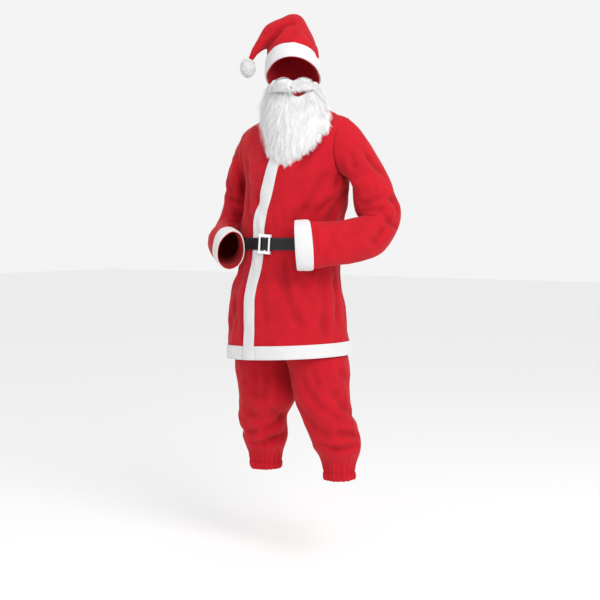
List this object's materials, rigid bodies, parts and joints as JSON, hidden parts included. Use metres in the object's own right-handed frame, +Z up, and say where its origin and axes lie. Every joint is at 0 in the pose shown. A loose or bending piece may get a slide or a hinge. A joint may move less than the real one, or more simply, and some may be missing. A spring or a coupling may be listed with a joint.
{
  "type": "santa suit",
  "caption": "Red felt jacket, trousers and folded hat with white fleece trim, a black belt and a long white false beard, hollow and shaped as worn.",
  "frame": {"origin": "between the wearer's shoulders at the base of the neck, 1.50 m above the sole of the foot, where the wearer carries the suit", "axes": "+X to the wearer's left, -Y to the front, +Z up"},
  "size_m": [0.7183, 0.4142, 1.5493],
  "materials": {
    "red_felt": "napped red felt, matt",
    "white_fleece": "white fleece with a short nap",
    "white_fibre": "long soft white fibre",
    "black_leatherette": "black leatherette with a satin gloss",
    "white_plastic": "smooth silvery white plastic",
    "white_elastic": "flat woven elastic"
  },
  "bodies": {
    "root": {"jacket_front_left": "red_felt", "jacket_front_right": "red_felt", "jacket_back": "red_felt", "sleeve_left": "red_felt", "sleeve_right": "red_felt", "front_band": "white_fleece", "hem_band_left": "white_fleece", "hem_band_right": "white_fleece", "hem_band_back": "white_fleece", "cuff_left": "white_fleece", "cuff_right": "white_fleece", "belt": "black_leatherette", "buckle": "white_plastic", "trouser_left_front": "red_felt", "trouser_left_back": "red_felt", "trouser_right_front": "red_felt", "trouser_right_back": "red_felt", "waistband": "red_felt", "ankle_casing_left": "red_felt", "ankle_casing_right": "red_felt", "hat_crown": "red_felt", "hat_band": "white_fleece", "hat_pompom": "white_fibre", "beard": "white_fibre", "moustache": "white_fibre", "beard_elastic": "white_elastic"}
  },
  "joints": []
}
